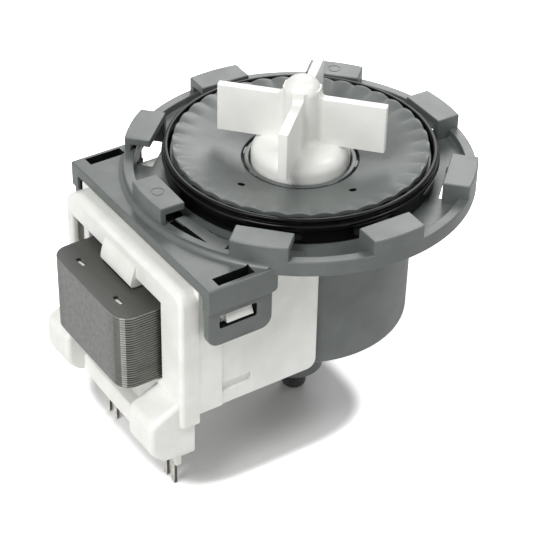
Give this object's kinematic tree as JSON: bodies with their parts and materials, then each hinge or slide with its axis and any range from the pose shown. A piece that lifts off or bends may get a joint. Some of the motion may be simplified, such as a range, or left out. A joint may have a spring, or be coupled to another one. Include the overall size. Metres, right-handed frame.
{
  "type": "drain pump",
  "caption": "Synchronous drain pump: open four-blade impeller on a round bayonet flange, with a white stator housing, U-shaped laminated core and two terminals beside it.",
  "frame": {"origin": "on the rotor's axis, in the plane that the terminals and the rear plug stand on", "axes": "+Z along the rotor's axis towards the impeller, -X towards the core's yoke and the terminals"},
  "size_m": [0.101, 0.084, 0.091],
  "materials": {
    "grey_plastic": "satin grey polypropylene",
    "white_plastic": "satin white polyester",
    "core_steel": "varnished electrical steel laminations",
    "black_rubber": "smooth black rubber",
    "natural_nylon": "natural nylon",
    "copper": "enamelled copper wire",
    "tinned_brass": "tinned, dull bright",
    "shaft_steel": "ground stainless steel",
    "ferrite": "dull ferrite",
    "graphite": "dull graphite"
  },
  "bodies": {
    "housing": {"pump_body": "grey_plastic", "rear_plug": "black_rubber", "stator_housing": "white_plastic", "laminated_core": "core_steel", "bobbin_far": "natural_nylon", "bobbin_near": "natural_nylon", "coil_far": "copper", "coil_near": "copper", "terminal_far": "tinned_brass", "terminal_near": "tinned_brass", "lead_wire_far": "copper", "lead_wire_near": "copper", "thermal_fuse": "natural_nylon", "link_lead_far": "copper", "link_lead_near": "copper", "cover_disc": "grey_plastic", "hair_guard_ring": "grey_plastic", "flange_gasket": "black_rubber", "chamber_o_ring": "black_rubber", "shaft_seal": "black_rubber", "front_bearing": "graphite", "front_bearing_holder": "black_rubber", "rear_bearing": "graphite", "rear_bearing_holder": "black_rubber"},
    "rotor": {"rotor_shaft": "shaft_steel", "rotor_magnet": "ferrite", "rotor_sleeve": "natural_nylon", "front_thrust_washer": "shaft_steel", "rear_thrust_washer": "shaft_steel", "drive_dog": "natural_nylon"},
    "impeller": {"impeller": "white_plastic", "impeller_cap": "white_plastic", "buffer_pad_left": "black_rubber", "buffer_pad_right": "black_rubber"}
  },
  "joints": [
    {"name": "rotor_spin", "type": "hinge", "parent": "housing", "child": "rotor", "pos_m": [0, 0, 0.0444], "axis": [0, 0, 1], "continuous": true},
    {"name": "impeller_slip", "type": "hinge", "parent": "rotor", "child": "impeller", "pos_m": [0, 0, 0.0706], "axis": [0, 0, 1], "range_deg": [-78, 78]}
  ]
}
